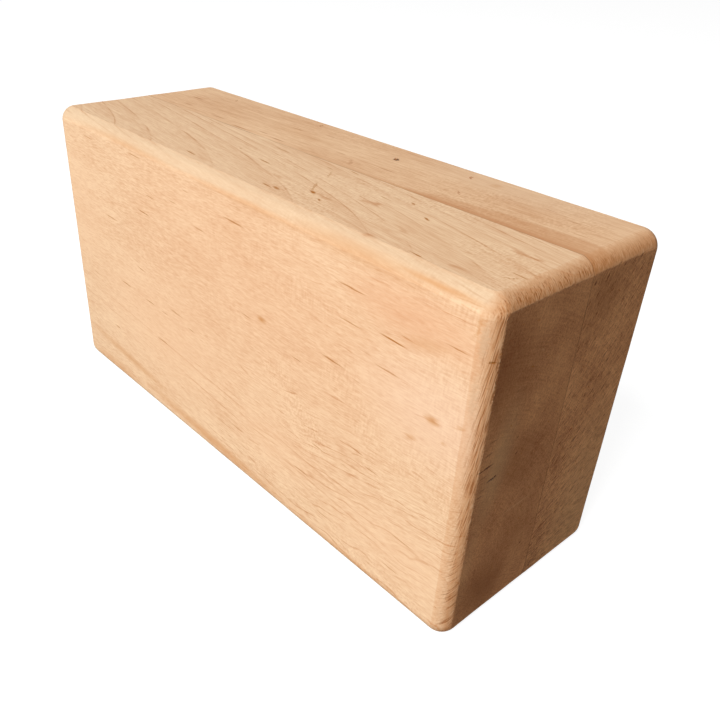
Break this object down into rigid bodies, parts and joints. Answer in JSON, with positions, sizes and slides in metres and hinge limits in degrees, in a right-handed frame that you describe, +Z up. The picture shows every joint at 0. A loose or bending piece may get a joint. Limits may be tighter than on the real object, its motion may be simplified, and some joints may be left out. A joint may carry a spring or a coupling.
{
  "type": "wooden brick",
  "caption": "Solid wooden brick glued up from thick boards, rounded over on every edge, that rests on any of its flat faces as a support or riser.",
  "frame": {"origin": "centre of the long narrow face that the brick stands on", "axes": "+X along the grain and the length, +Y from the front board to the rear board, +Z up"},
  "size_m": [0.23, 0.0786, 0.118],
  "materials": {
    "front_board_wood": "bare alder, sanded, pale salmon tan with fine brown dashes",
    "rear_board_wood": "bare alder, sanded, a redder board than the front one"
  },
  "bodies": {
    "root": {"front_board": "front_board_wood", "rear_board": "rear_board_wood"}
  },
  "joints": []
}
